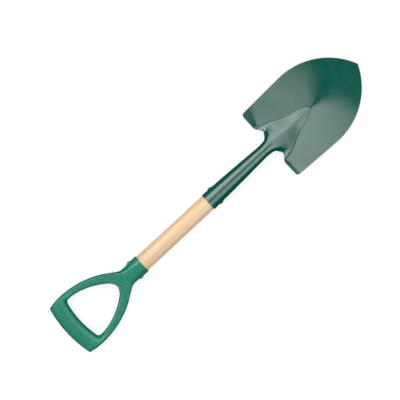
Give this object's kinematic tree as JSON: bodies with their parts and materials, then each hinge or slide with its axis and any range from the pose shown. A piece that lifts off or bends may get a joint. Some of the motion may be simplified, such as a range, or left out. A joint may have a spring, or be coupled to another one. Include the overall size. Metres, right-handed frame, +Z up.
{
  "type": "garden shovel",
  "caption": "Short garden shovel with a dished round-point blade, rolled socket, wooden shaft and moulded D-shaped hand grip.",
  "frame": {"origin": "centre of the tool's footprint, on the ground that it lies on", "axes": "+Y along the shaft towards the blade's tip, +Z up out of the blade's hollow face, +X across the blade"},
  "size_m": [0.1556, 0.7115, 0.0364],
  "materials": {
    "green_enamel": "glossy dark green enamel",
    "pale_wood": "pale sanded hardwood with a thin clear lacquer",
    "green_plastic": "satin green moulding",
    "plain_steel": "bare rivet steel"
  },
  "bodies": {
    "root": {"blade_head": "green_enamel", "shaft": "pale_wood", "d_grip": "green_plastic", "socket_rivet": "green_enamel", "grip_rivet": "plain_steel"}
  },
  "joints": []
}
